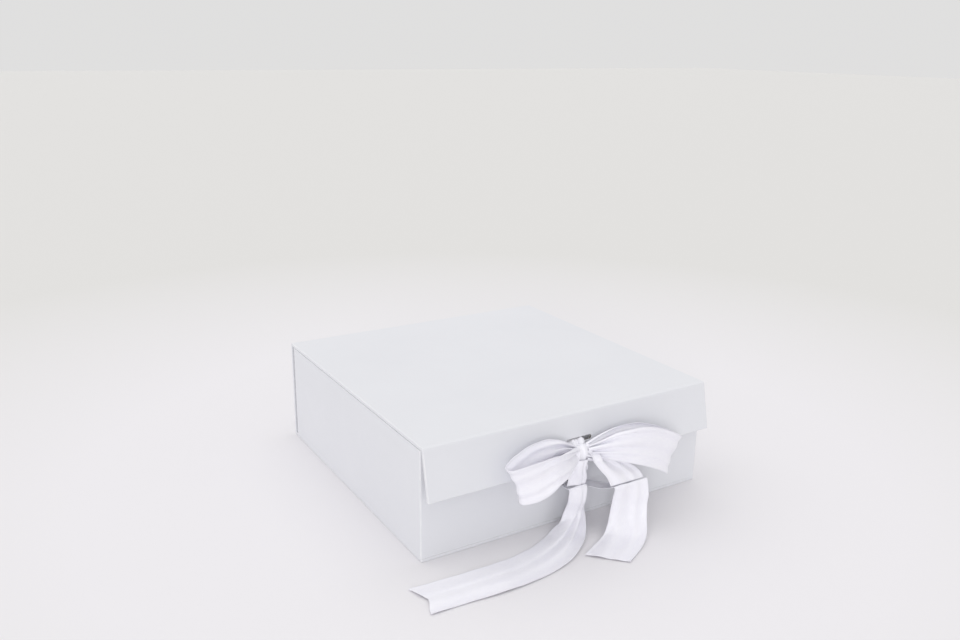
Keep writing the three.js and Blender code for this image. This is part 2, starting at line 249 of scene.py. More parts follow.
# ---- Materials -----------------------------------------------------------------------
def paper_material(name, light, dark, rough, fibre, edge=None):
    """Coated wrap or liner paper: faint clouding, fibres, the board's unevenness and, where edge is given, lighter
    rounded edges that are part wear, part painted highlight.
    """
    s = Shader(name)
    where = s.place()
    cloud = s.noise(where, 9, detail=2)
    color = s.ramp(cloud, [(0.3, dark), (0.7, light)])
    fleck = s.noise(where, 420, detail=2)
    color = s.mix(s.span(fleck, 0, 0.05, 0.62, 0.8), color, (0.62, 0.62, 0.66, 1))
    # Rounded edges turn towards the lighter edge colour: part edge wear, part painted highlight.
    if edge:
        wear_and_highlight = s.node("ShaderNodeAttribute", attribute_name="edge").outputs["Fac"]
        patchy = s.noise(where, 55, detail=4)
        amount = s.node("ShaderNodeMath", operation="MULTIPLY")
        s.link(wear_and_highlight, amount.inputs[0])
        s.link(s.span(patchy, 0.1, 0.7, 0.42, 0.65), amount.inputs[1])
        color = s.mix(amount.outputs[0], color, edge)
    s.link(color, s.bsdf.inputs["Base Color"])
    s.link(s.span(s.noise(where, 60, detail=3), rough[0], rough[1], 0.3, 0.7),
           s.bsdf.inputs["Roughness"])
    board = s.bump(s.noise(where, 18, detail=1), 0.00018)
    tooth = s.bump(s.noise(where, 1100, detail=4), 0.00006, below=board)
    threads = s.noise(s.place((1, 0.12, 1)), fibre, detail=3)
    s.link(s.bump(threads, 0.00005, below=tooth), s.bsdf.inputs["Normal"])
    s.bsdf.inputs["Specular IOR Level"].default_value = 0.38
    return s.material


def greyboard_material():
    s = Shader("greyboard")
    where = s.place()
    pulp = s.noise(where, 160, detail=6, roughness=0.7)
    color = s.ramp(pulp, [(0.3, (0.2, 0.185, 0.165)), (0.55, (0.35, 0.33, 0.3)),
                          (0.75, (0.47, 0.45, 0.41))])
    speck = s.noise(where, 1300, detail=1)
    color = s.mix(s.span(speck, 0, 0.6, 0.66, 0.75), color, (0.1, 0.095, 0.09, 1))
    s.link(color, s.bsdf.inputs["Base Color"])
    s.bsdf.inputs["Roughness"].default_value = 0.92
    s.link(s.bump(pulp, 0.00012), s.bsdf.inputs["Normal"])
    return s.material


def kraft_material():
    s = Shader("kraft_stay_tape")
    streak = s.noise(s.place((1, 1, 0.08)), 900, detail=4)
    color = s.ramp(streak, [(0.3, (0.36, 0.24, 0.12)), (0.7, (0.58, 0.43, 0.26))])
    s.link(color, s.bsdf.inputs["Base Color"])
    s.bsdf.inputs["Roughness"].default_value = 0.75
    s.link(s.bump(streak, 0.00004), s.bsdf.inputs["Normal"])
    return s.material


def metal_material(name, light, dark, rough):
    """Plated disc with turned rings and a few scuffs."""
    s = Shader(name)
    where = s.place()
    scuff = s.noise(where, 260, detail=5)
    s.link(s.ramp(scuff, [(0.35, dark), (0.6, light)]), s.bsdf.inputs["Base Color"])
    s.bsdf.inputs["Metallic"].default_value = 1
    s.link(s.span(scuff, rough[0], rough[1], 0.3, 0.7), s.bsdf.inputs["Roughness"])
    lines = s.noise(s.place((1, 1, 0.04)), 2600, detail=2)
    s.link(s.bump(lines, 0.00001), s.bsdf.inputs["Normal"])
    return s.material


def satin_material():
    """White satin ribbon: long floats, fine ribs, woven edges, a soft sheen and lighter streaks of painted sheen.
    Its UV map runs across the ribbon in U and along it in V, in metres."""
    s = Shader("satin_ribbon")
    flat = s.place(uv="ribbon")
    split = s.node("ShaderNodeSeparateXYZ")
    s.link(flat, split.inputs[0])
    middle = s.node("ShaderNodeMath", operation="SUBTRACT")
    s.link(split.outputs["X"], middle.inputs[0])
    middle.inputs[1].default_value = RIBBON / 2 * MM
    aside = s.node("ShaderNodeMath", operation="ABSOLUTE")
    s.link(middle.outputs[0], aside.inputs[0])
    edge = (RIBBON / 2 - SELVEDGE) * MM
    selvedge = s.span(aside.outputs[0], 0, 1, edge, edge + 0.2 * MM)

    floats = s.noise(s.place((1, 0.05, 1), uv="ribbon"), 3200, detail=3)
    ground = s.ramp(floats, [(0.25, (0.85, 0.84, 0.925)), (0.75, (0.95, 0.945, 0.99))])
    sheen_streaks = s.noise(s.place((1, 0.25, 1), uv="ribbon"), 130, detail=2)
    # Lighter streaks along the ribbon are painted sheen in the colour; the same streaks also vary the roughness.
    color = s.mix(s.span(sheen_streaks, 0, 0.3, 0.35, 0.7), ground, (0.96, 0.955, 0.98, 1))
    color = s.mix(s.span(selvedge, 0, 0.5), color, (0.84, 0.83, 0.9, 1))
    s.link(color, s.bsdf.inputs["Base Color"])
    shine = s.span(sheen_streaks, 0.29, 0.42, 0.3, 0.7)
    dull = s.node("ShaderNodeMath", operation="MULTIPLY_ADD")
    s.link(selvedge, dull.inputs[0])
    dull.inputs[1].default_value = 0.2
    s.link(shine, dull.inputs[2])
    s.link(dull.outputs[0], s.bsdf.inputs["Roughness"])
    s.bsdf.inputs["Specular IOR Level"].default_value = 0.6
    s.bsdf.inputs["Sheen Weight"].default_value = 0.3
    s.bsdf.inputs["Sheen Roughness"].default_value = 0.35
    grain = s.bump(floats, 0.00004)
    ribs = s.wave(flat, 520, "Y")
    weave = s.bump(ribs, 0.00003, below=grain)
    crinkle = s.bump(s.noise(s.place((1, 0.4, 1), uv="ribbon"), 190, detail=3), 0.0002,
                     below=weave)
    s.link(crinkle, s.bsdf.inputs["Normal"])
    return s.material


def floor_material():
    """Pale cloth-covered table, painted lighter near the object and greyer away from it as a painted falloff of
    light.
    """
    s = Shader("pale_floor")
    where = s.place()
    length = s.node("ShaderNodeVectorMath", operation="LENGTH")
    s.link(where, length.inputs[0])
    # Painted falloff of light: the colour runs from a lighter tone near the object to a greyer one farther off.
    near, far = (0.83, 0.815, 0.84), (0.74, 0.733, 0.72)
    color = s.ramp(s.span(length.outputs["Value"], 0, 1, 0.4, 0.95), [(0.0, near), (1.0, far)])
    s.link(color, s.bsdf.inputs["Base Color"])
    s.bsdf.inputs["Roughness"].default_value = 0.75
    s.bsdf.inputs["Specular IOR Level"].default_value = 0.2
    return s.material


# ---- Mesh helpers --------------------------------------------------------------------
def new_object(name, vertices, faces, material, matrix=None):
    """A mesh object from millimetre vertices, placed by a matrix in millimetres."""
    mesh = bpy.data.meshes.new(name)
    mesh.from_pydata([Vector(v) for v in vertices], [], faces)
    if matrix is not None:
        mesh.transform(matrix)
    mesh.transform(Matrix.Scale(MM, 4))
    mesh.update()
    mesh.materials.append(material)
    made = bpy.data.objects.new(name, mesh)
    bpy.context.collection.objects.link(made)
    return made


def face_out(made):
    """Point every face outwards."""
    bm = bmesh.new()
    bm.from_mesh(made.data)
    bmesh.ops.recalc_face_normals(bm, faces=bm.faces)
    bm.to_mesh(made.data)
    bm.free()


def apply_modifiers(made):
    graph = bpy.context.evaluated_depsgraph_get()
    mesh = bpy.data.meshes.new_from_object(made.evaluated_get(graph))
    made.modifiers.clear()
    made.data = mesh


def smooth(made, angle=32):
    """Smooth shading with sharp edges kept, and flats that stay flat."""
    mesh = made.data
    mesh.shade_smooth()
    mesh.set_sharp_from_angle(angle=math.radians(angle))
    weighted = made.modifiers.new("weighted", "WEIGHTED_NORMAL")
    weighted.keep_sharp = True
    apply_modifiers(made)


def cut(made, cutter):
    """Take a cutter object out of made, then drop the cutter."""
    boolean = made.modifiers.new("cut", "BOOLEAN")
    boolean.operation = "DIFFERENCE"
    boolean.solver = "EXACT"
    boolean.object = cutter
    apply_modifiers(made)
    bpy.data.objects.remove(cutter, do_unlink=True)


def arc(centre, radius, start, end, steps):
    """Points on a circle, from one angle to another in degrees."""
    for i in range(steps + 1):
        a = math.radians(start + (end - start) * i / steps)
        yield centre[0] + radius * math.cos(a), centre[1] + radius * math.sin(a)


def rounded_loop(half, low, high, inset, radius, steps=5):
    """A rounded rectangle on XY, from -half to half and low to high, pulled in by inset."""
    r = max(radius - inset, 0.08)
    x, y0, y1 = half - inset - r, low + inset + r, high - inset - r
    corners = ((x, y1, 0), (-x, y1, 90), (-x, y0, 180), (x, y0, 270))
    loop = []
    for k, (cx, cy, a) in enumerate(corners):
        loop += arc((cx, cy), r, a, a + 90, steps)
        here, there = Vector(loop[-1]), Vector((corners[(k + 1) % 4][0], corners[(k + 1) % 4][1]))
        turn = math.radians(a + 90)
        there = there + r * Vector((math.cos(turn), math.sin(turn)))
        step = (there - here).normalized() * WEAR_AND_HIGHLIGHT_REACH
        loop += [tuple(here + step), tuple(there - step)]
    return loop


def ring_stack(name, half, low, high, profile, radius, material, matrix=None, capped=True):
    """Rings of one rounded rectangle, each (inset, z), joined in order. Caps close the first
    and last rings; without them the last ring joins the first."""
    loops = [[(x, y, z) for x, y in rounded_loop(half, low, high, inset, radius)]
             for inset, z in profile]
    count = len(loops[0])
    vertices = [v for loop in loops for v in loop]
    faces = []
    for i in range(len(loops) - 1 if capped else len(loops)):
        a, b = i * count, ((i + 1) % len(loops)) * count
        for k in range(count):
            n = (k + 1) % count
            faces.append((a + k, a + n, b + n, b + k))
    if capped:
        faces.append(tuple(reversed(range(count))))
        faces.append(tuple(range((len(loops) - 1) * count, len(loops) * count)))
    made = new_object(name, vertices, faces, material, matrix)
    face_out(made)
    mark_edges(made)
    return made


def mark_edges(made):
    """Store how close each corner of the mesh is to a rounded edge, for the edge wear and painted highlight."""
    mesh = made.data
    values = np.zeros(len(mesh.vertices), np.float32)
    spread = {v.index: [] for v in mesh.vertices}
    for polygon in mesh.polygons:
        for index in polygon.vertices:
            spread[index].append(polygon.normal)
    for index, normals in spread.items():
        total = sum(normals, Vector())
        values[index] = 1.0 if normals and total.length < 0.995 * len(normals) else 0.0
    attribute = mesh.attributes.new("edge", "FLOAT", "POINT")
    attribute.data.foreach_set("value", values)


def stadium(name, x, y, z0, z1, matrix):
    """A round-ended cutter along X at (x, y), from z0 to z1."""
    r = SLOT_HEIGHT / 2
    half = SLOT_WIDTH / 2 - SLOT_HEIGHT / 2
    outline = [*arc((x + half, y), r, -90, 90, 10), *arc((x - half, y), r, 90, 270, 10)]
    count = len(outline)
    vertices = [(px, py, z0) for px, py in outline] + [(px, py, z1) for px, py in outline]
    faces = [tuple(reversed(range(count))), tuple(range(count, 2 * count))]
    faces += [(k, (k + 1) % count, count + (k + 1) % count, count + k) for k in range(count)]
    made = new_object(name, vertices, faces, None, matrix)
    face_out(made)
    return made


# ---- Box -----------------------------------------------------------------------------
def panel_profile():
    """The wrap around a board, from the outer face over the edge to the turned-in border
    and back along the inside of the paper."""
    r, s = OUTER_RADIUS, INNER_RADIUS
    over = [(r - x, PANEL - r + z) for x, z in arc((0, 0), r, 90, 0, 6)]
    under = [(s - x, s - z) for x, z in arc((0, 0), s, 0, 90, 4)]
    lip = [(TURN_IN - 0.3, 0), (TURN_IN - 0.08, 0.06), (TURN_IN, 0.2), (TURN_IN, PAPER)]
    inside = [(PAPER + 0.3, PAPER), (PAPER, PAPER + 0.3), (PAPER, PANEL - PAPER - 0.5),
              (PAPER + 0.5, PANEL - PAPER)]
    return [(r + WEAR_AND_HIGHLIGHT_REACH, PANEL), *over, *under, (s + WEAR_AND_HIGHLIGHT_REACH, 0), *lip, *inside]


def panel(name, length, matrix, body, material, slot_at=None):
    """The wrap of a case panel on local XY, with its outer face at Z = PANEL."""
    made = ring_stack(name, CASE_HALF, 0, length, panel_profile(), CORNER_RADIUS,
                      material, matrix)
    if slot_at is not None:
        cut(made, stadium("cutter", 0, slot_at, -1, PANEL + 1, matrix))
    smooth(made)
    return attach(made, body)


def local(origin, x, y, z):
    """A frame in millimetres with the given axes."""
    return Matrix.Translation(Vector(origin)) @ Matrix((x, y, z)).transposed().to_4x4()


def flap_frame():
    """Directions of the hanging flap: down it, and out of its outer face."""
    down = Vector((0, -math.sin(FLAP_REST), -math.cos(FLAP_REST)))
    out = Vector((0, -math.cos(FLAP_REST), math.sin(FLAP_REST)))
    return down, out


def build_panels(paper):
    down, out = flap_frame()
    places = {
        "base_wrap": (BASE_HIGH.y - BASE_LOW.y, "tray", None,
                      local((0, BASE_LOW.y, PANEL), -X, Y, -Z)),
        "spine_wrap": (SPINE_HIGH.z - SPINE_LOW.z, "spine", None,
                       local((0, SPINE_LOW.y, SPINE_HIGH.z), X, -Z, Y)),
        "lid_wrap": (LID_HIGH.y - LID_LOW.y, "lid", None,
                     local((0, LID_LOW.y, LID_LOW.z), X, Y, Z)),
        "flap_wrap": (FLAP_END - CREASE_SETBACK, "flap", FLAP_SLOT_DROP - CREASE_SETBACK,
                      local(FLAP_AXIS + CREASE_SETBACK * down - PANEL / 2 * out, -X, down, out)),
    }
    for node, (length, body, slot_at, matrix) in places.items():
        made = panel(node.replace("wrap", "cover"), length, matrix, body, paper, slot_at)
        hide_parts(node)


def fold(name, node, axis, first, second, paper):
    """The paper that bends at a fold, as one closed band. first and second are (along, out):
    the direction from the fold's axis into each board, and out of its outer face. The band
    runs on over the boards' rounded ends."""
    half = PANEL / 2 + PROUD
    sides = []
    for side, bend in ((1, OUTER_BEND), (-1, INNER_BEND)):
        a = axis + first[0] * CREASE_SETBACK + side * half * first[1]
        b = axis + second[0] * CREASE_SETBACK + side * half * second[1]
        reach = bend * (a - b).length
        handles = (a, a - first[0] * reach, b - second[0] * reach, b)
        sides.append([a + first[0] * OVERLAP * (1 - t / 3) for t in range(3)]
                     + [bezier(handles, t / 16) for t in range(17)]
                     + [b + second[0] * OVERLAP * (t + 1) / 3 for t in range(3)])
    made = band(name, *sides, paper)
    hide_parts(node)
    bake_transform(made)


def bezier(p, t):
    u = 1 - t
    return u**3 * p[0] + 3 * u * u * t * p[1] + 3 * u * t * t * p[2] + t**3 * p[3]


def band(name, outer, inner, material):
    """A solid strip across the case between an outer and an inner line in YZ, with its two
    ends rounded like a board's edges."""
    r, s, far = OUTER_RADIUS, INNER_RADIUS, CASE_HALF + PROUD
    edge = [(far - r + x, (r - z) / PANEL) for x, z in arc((0, 0), r, 90, 0, 5)]
    edge += [(far - s + x, 1 - (s + z) / PANEL) for x, z in arc((0, 0), s, 0, -90, 3)]
    edge[-1] = (far - s, 1)
    fade = far - r - WEAR_AND_HIGHLIGHT_REACH
    section = [(fade, 0), *edge, (fade, 1), (-fade, 1)]
    section += [(-x, depth) for x, depth in reversed(edge)] + [(-fade, 0)]
    count = len(section)
    vertices = [(x, *(o.lerp(i, depth)).yz) for o, i in zip(outer, inner) for x, depth in section]
    faces = []
    for row in range(len(outer) - 1):
        a, b = count * row, count * (row + 1)
        faces += [(a + k, a + (k + 1) % count, b + (k + 1) % count, b + k) for k in range(count)]
    faces += [tuple(range(count)), tuple(range(count * (len(outer) - 1), count * len(outer)))]
    made = new_object(name, vertices, faces, material)
    face_out(made)
    smooth(made, 50)
    return made


def build_folds(paper):
    down, out = flap_frame()
    fold("flap_fold", "flap_crease", FLAP_AXIS, (Y, Z), (down, out), paper)
    fold("lid_fold", "lid_crease", LID_AXIS, (-Z, Y), (-Y, Z), paper)
    fold("base_fold", "base_crease", SPINE_AXIS, (-Y, -Z), (Z, Y), paper)


def build_tray(paper):
    """The tray's wrap: under the floor's edge, up the walls, over the rim and inside."""
    low, high = TRAY_LOW.z, TRAY_HIGH.z
    r = INNER_RADIUS
    foot = [(r - x, low + r - z) for x, z in arc((0, 0), r, 90, 0, 5)]
    foot.append((0, low + r + WEAR_AND_HIGHLIGHT_REACH))
    rim = [(0, high - r - WEAR_AND_HIGHLIGHT_REACH)]
    rim += [(r - x, high - r + z) for x, z in arc((0, 0), r, 0, 90, 5)]
    over = [(WALL - r + x, high - r + z) for x, z in arc((0, 0), r, 90, 0, 5)]
    profile = [
        (BASE_TURN_IN, low + PAPER), (BASE_TURN_IN, low), *foot, *rim, *over,
        (WALL, high - r - WEAR_AND_HIGHLIGHT_REACH),
        (WALL, high - RIM_TURN_IN + 0.15), (WALL - 0.15, high - RIM_TURN_IN),
        (WALL - PAPER, high - RIM_TURN_IN), (WALL - PAPER, high - PAPER),
        (PAPER, high - PAPER), (PAPER, low + PAPER),
    ]
    made = ring_stack("tray_cover", TRAY_HIGH.x, TRAY_LOW.y, TRAY_HIGH.y, profile, TRAY_CORNER,
                      paper, capped=False)
    through = local((0, TRAY_LOW.y, 0), X, Z, -Y)
    cut(made, stadium("cutter", 0, WALL_SLOT_Z, -WALL - 1, 1, through))
    smooth(made)
    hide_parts("tray_wrap")
    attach(made, "tray")


# ---- Ribbon --------------------------------------------------------------------------
def spline(points, count):
    """count points evenly spaced along a smooth curve through the given ones, and the curve's length."""
    points = np.array(points, float)
    gaps = np.linalg.norm(np.diff(points[:, :3], axis=0), axis=1) ** 0.5
    knots = np.concatenate([[0], np.cumsum(gaps)])
    slopes = np.gradient(points, knots, axis=0)
    fine = np.linspace(0, knots[-1], 1200)
    k = np.clip(np.searchsorted(knots, fine, side="right") - 1, 0, len(knots) - 2)
    h = (knots[k + 1] - knots[k])[:, None]
    t = ((fine - knots[k])[:, None]) / h
    curve = ((2 * t**3 - 3 * t**2 + 1) * points[k] + (t**3 - 2 * t**2 + t) * h * slopes[k]
             + (3 * t**2 - 2 * t**3) * points[k + 1] + (t**3 - t**2) * h * slopes[k + 1])
    run = np.concatenate([[0], np.cumsum(np.linalg.norm(np.diff(curve[:, :3], axis=0), axis=1))])
    wanted = np.linspace(0, run[-1], count)
    even = np.array([np.interp(wanted, run, curve[:, i]) for i in range(points.shape[1])]).T
    return even, run[-1]


def gathered(width, depth, phases):
    """Cross-section of a ribbon gathered to a width: places across and heights, from phases
    that grow along the cloth. Its direction swings just enough to take up the cloth, and
    pleats that would stand higher than depth are laid over, as pressed folds are."""
    low, high = 0.0, MOST_SWING
    for _ in range(22):
        swing = (low + high) / 2
        span = np.mean(np.cos(swing * np.sin(phases)))
        low, high = (swing, high) if span * RIBBON > width else (low, swing)
    angle = swing * np.sin(phases)
    step = RIBBON / (len(phases) - 1)
    middles = (angle[1:] + angle[:-1]) / 2
    across = np.concatenate([[0], np.cumsum(np.cos(middles))]) * step
    height = np.concatenate([[0], np.cumsum(np.sin(middles))]) * step
    across -= across.mean()
    height -= (height.max() + height.min()) / 2
    tall = max((height.max() - height.min()) / 2, 1e-6)
    if tall > depth:
        across = across + height * math.sqrt(1 - (depth / tall) ** 2)
        height = height * depth / tall
    return across, height


def ribbon(name, stations, body, material, *, pleats=3, phase=0.0, cup=0.0, ripple=0.0,
           seed=0, end=None, along=150, across=72):
    """A ribbon through stations: place, direction across, gathered width and, where its
    pleats are pressed, half their depth. cup bows it across, ripple adds slack waves, and
    end says how far the cut at the far end reaches back at each place across."""
    rows = [(*s[0], *Vector(s[1]).normalized(), s[2], s[3] if len(s) > 3 else FREE_PLEAT)
            for s in stations]
    path, length = spline(rows, along)
    centre, side = path[:, :3], path[:, 3:6]
    tangent = np.gradient(centre, axis=0)
    tangent /= np.linalg.norm(tangent, axis=1)[:, None]
    side = side / np.linalg.norm(side, axis=1)[:, None]
    normal = np.cross(tangent, side)
    normal /= np.linalg.norm(normal, axis=1)[:, None]
    u = np.linspace(-1, 1, across)
    shifts = np.random.default_rng(seed).uniform(0, 2 * math.pi, 4)
    lean = u + 0.1 * np.sin(math.pi * 1.5 * u + shifts[1])
    points = np.empty((along, across, 3))
    for i, share in enumerate(np.linspace(0, 1, along)):
        width, depth = min(path[i, 6], 0.985 * RIBBON), path[i, 7]
        wander = 0.5 * math.sin(2.1 * math.pi * share + shifts[0])
        places, heights = gathered(width, depth, math.pi * pleats * lean + phase + wander)
        slack = math.sin(7 * math.pi * share + shifts[2]) * np.cos(1.3 * u)
        slack += 0.5 * np.sin(17 * math.pi * share - 2.1 * u + shifts[3])
        heights = heights + cup * (1 - u**2) * width / RIBBON + ripple * slack
        points[i] = centre[i] + np.outer(places, side[i]) + np.outer(heights, normal[i])
    if end is not None:
        rows_at = np.linspace(0, 1, along)
        for k, back in enumerate(end(v) / length for v in u):
            for axis in range(3):
                points[:, k, axis] = np.interp(rows_at * (1 - back), rows_at, points[:, k, axis])
    return ribbon_object(name, points, length, body, material)


def ribbon_object(name, points, length, body, material):
    """A thin closed sheet from a grid of points, with a slightly thicker woven edge."""
    along, across = points.shape[:2]
    du = np.gradient(points, axis=1)
    dv = np.gradient(points, axis=0)
    normal = np.cross(dv, du)
    normal /= np.linalg.norm(normal, axis=2)[..., None]
    u = np.linspace(-1, 1, across)
    selvedge = 1 + 0.8 * np.clip((np.abs(u) - 0.93) / 0.04, 0, 1)
    half = 0.5 * RIBBON_THICKNESS * selvedge[None, :, None]
    layers = np.concatenate([points + normal * half, points - normal * half])
    vertices = layers.reshape(-1, 3)
    under = along * across
    faces = []
    for i in range(along - 1):
        for k in range(across - 1):
            a = i * across + k
            faces.append((a, a + 1, a + across + 1, a + across))
            b = a + under
            faces.append((b, b + across, b + across + 1, b + 1))
    rim = list(range(across))
    rim += [i * across + across - 1 for i in range(1, along)]
    rim += [(along - 1) * across + k for k in range(across - 2, -1, -1)]
    rim += [i * across for i in range(along - 2, 0, -1)]
    for k, a in enumerate(rim):
        b = rim[(k + 1) % len(rim)]
        faces.append((a, a + under, b + under, b))
    made = new_object(name, vertices.tolist(), faces, material)
    uv = made.data.uv_layers.new(name="ribbon")
    coords = np.empty((len(made.data.loops), 2), np.float32)
    index = np.empty(len(made.data.loops), np.int64)
    made.data.loops.foreach_get("vertex_index", index)
    place = index % under
    coords[:, 0] = (place % across) / (across - 1) * RIBBON * MM
    coords[:, 1] = (place // across) / (along - 1) * length * MM
    uv.data.foreach_set("uv", coords.ravel())
    face_out(made)
    made.data.shade_smooth()
    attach(made, body)
    made["length_mm"] = length
    return made


def in_flap(x, drop, out_by):
    """A point beside the flap: along it, below its fold, and out of its middle."""
    down, out = flap_frame()
    return tuple(FLAP_AXIS + X * x + down * drop + out * out_by)


def build_leads(satin):
    """The two ends that come through the slots, pressed flat and glued to the inside."""
    inside = -PANEL / 2 - LEAD_OFF
    lead = ribbon("ribbon_through_flap", [
        (in_flap(-2.5, 9, inside), X, 17, 0.2),
        (in_flap(-2.5, 14, inside), X, 17, 0.2),
        (in_flap(-2.5, 18.5, inside), X, 17, 0.2),
        (in_flap(-2.5, 20.6, inside + 0.16), X, 17, 0.24),
        (in_flap(-2.5, 22.3, -1.0), X, 16.5, 0.8),
        (in_flap(-2.5, 22.9, 0.6), X, 16.5, 1.5),
        (in_flap(-2.7, 23.6, 2.2), X, 16, 1.7),
        (in_flap(-3.6, 26, 4.6), X, 15, 2.0),
        (in_flap(-4.6, 29.5, 7.2), X, 14, 2.2),
    ], "flap", satin, pleats=4, seed=3, along=90)
    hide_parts("flap_ribbon_lead")
    glued = TRAY_LOW.y + WALL + 0.5
    wall = ribbon("ribbon_through_wall", [
        ((2.5, glued, 18), X, 20, 0.3),
        ((2.5, glued, 27), X, 20, 0.3),
        ((2.5, glued, 34.6), X, 20, 0.4),
        ((2.5, glued - 1.6, 36.8), X, 20, 1.2),
        ((2.5, TRAY_LOW.y + 1.0, 37.1), X, 19, 1.5),
        ((2.5, TRAY_LOW.y - 1.4, 37.1), X, 19, 1.6),
    ], "tray", satin, pleats=4, seed=5, along=90)
    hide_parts("wall_ribbon_lead")


def build_knot(satin):
    """The knot: a pleated band wrapped round the gathered ribbon."""
    low, high = node_box("bow_knot")
    middle, size = (low + high) / 2, (high - low) / 2
    turns, across = 96, 48
    points = np.empty((across, turns, 3))
    for i in range(across):
        u = -1 + 2 * i / (across - 1)
        for k in range(turns):
            a = 2 * math.pi * k / turns
            belly = 0.60 + 0.40 * math.sqrt(max(0.0, 1 - abs(u) ** 2.6))
            ridge = 0.085 * math.sin(9.5 * u + 0.55 * math.sin(a + 0.4))
            ridge += 0.03 * math.sin(21 * u + 1.7 * math.sin(a))
            skew = 0.14 * math.sin(a) + 0.05 * math.sin(2 * a)
            r = belly + ridge
            points[i, k] = (middle.x + size.x * (0.94 * u + skew * 0.35),
                            middle.y - size.y * r * math.cos(a),
                            middle.z + size.z * r * math.sin(a))
    vertices = points.reshape(-1, 3)
    faces = []
    for i in range(across - 1):
        for k in range(turns):
            n = (k + 1) % turns
            faces.append((i * turns + k, i * turns + n, (i + 1) * turns + n, (i + 1) * turns + k))
    faces.append(tuple(range(turns)))
    faces.append(tuple(reversed(range((across - 1) * turns, across * turns))))
    made = new_object("bow_knot_wrap", vertices.tolist(), faces, satin)
    uv = made.data.uv_layers.new(name="ribbon")
    for polygon in made.data.polygons:
        closing = any(made.data.loops[j].vertex_index % turns == turns - 1
                      for j in polygon.loop_indices)
        for j in polygon.loop_indices:
            i, k = divmod(made.data.loops[j].vertex_index, turns)
            lap = k + turns if closing and k == 0 else k
            uv.data[j].uv = (i / across * RIBBON * MM, lap / turns * 2 * math.pi * KNOT_RADIUS * MM)
    face_out(made)
    made.data.shade_smooth()
    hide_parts("bow_knot")
    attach(made, "flap")


def build_bow(satin):
    build_knot(satin)
    left = ribbon("bow_left_loop", [
        ((-10, -170.2, 74.6), (0.05, 0.25, -1), 10),
        ((-18, -176, 76), (0.08, 0.22, -1), 15),
        ((-30, -184.5, 77), (0.12, 0.18, -1), 23),
        ((-45, -190.5, 76.4), (0.2, 0.1, -1), 29.5),
        ((-60, -190.5, 71.9), (0.32, 0.02, -1), 35.5),
        ((-73, -186.5, 67.5), (0.4, 0, -1), 37.5),
        ((-80.6, -180.6, 65), (0.42, 0, -1), 37.6),
        ((-80.4, -175.5, 65.5), (0.42, 0, -1), 37.6),
        ((-73, -171.5, 70), (0.36, 0.06, -1), 37.4),
        ((-58, -169, 76), (0.24, 0.12, -1), 36),
        ((-42, -167.6, 79.5), (0.16, 0.18, -1), 31),
        ((-26, -166, 79.5), (0.1, 0.2, -1), 22),
        ((-10, -165.2, 75), (0.05, 0.21, -1), 10),
    ], "flap", satin, pleats=3, phase=0.4, cup=-1.8, ripple=0.3, seed=11, along=260)
    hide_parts("bow_loop_left")
    right = ribbon("bow_right_loop", [
        ((0.5, -170.2, 74.6), (0.05, 0.25, -1), 10),
        ((9, -175.6, 76.8), (0, 0.22, -1), 17),
        ((23, -183, 79), (-0.06, 0.2, -1), 28),
        ((46, -188, 76.5), (-0.15, 0.1, -1), 36.2),
        ((74, -185.5, 65), (-0.3, 0, -1), 37.6),
        ((94, -179.5, 53), (-0.4, 0, -1), 37.6),
        ((96.5, -174.5, 51.5), (-0.4, 0, -1), 37.6),
        ((88, -170.4, 57), (-0.36, 0.08, -1), 37.4),
        ((66, -168.8, 68), (-0.26, 0.14, -1), 36),
        ((44, -167.6, 76), (-0.16, 0.18, -1), 31),
        ((20, -166, 78.5), (-0.05, 0.21, -1), 20),
        ((0.5, -165.2, 75), (0, 0.21, -1), 10),
    ], "flap", satin, pleats=3, phase=2.2, cup=1.8, ripple=0.3, seed=23, along=280)
    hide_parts("bow_loop_right")
    left_tail = ribbon("bow_left_tail", [
        ((-7.2, -171, 68.5), X, 11.5),
        ((-7.2, -170.6, 63), X, 12.5),
        ((-6.8, -169.8, 56), X, 13.5),
        ((-6.4, -168.8, 49.5), X, 14.2, 2.1),
        ((-6.3, -167.9, 43.6), X, 14.6, 1.2),
    ], "flap", satin, pleats=2.5, phase=0.9, seed=31, along=80)
    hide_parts("bow_tail_left")
    right_tail = ribbon("bow_right_tail", [
        ((-1.5, -170.8, 70.5), (0.45, 0, -0.9), 10),
        ((6, -172.4, 69), (0.75, 0, -0.62), 18),
        ((16.5, -175, 65), (0.95, -0.02, -0.24), 31),
        ((26, -178, 56.5), (0.99, 0, -0.1), 36.5),
        ((31.5, -183, 50), (1, 0, -0.04), 37.3),
        ((33, -186.6, 44.3), X, 37.3, 0.8),
    ], "flap", satin, pleats=2.5, phase=0.2, cup=0.8, seed=37, along=120)
    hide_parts("bow_tail_right")


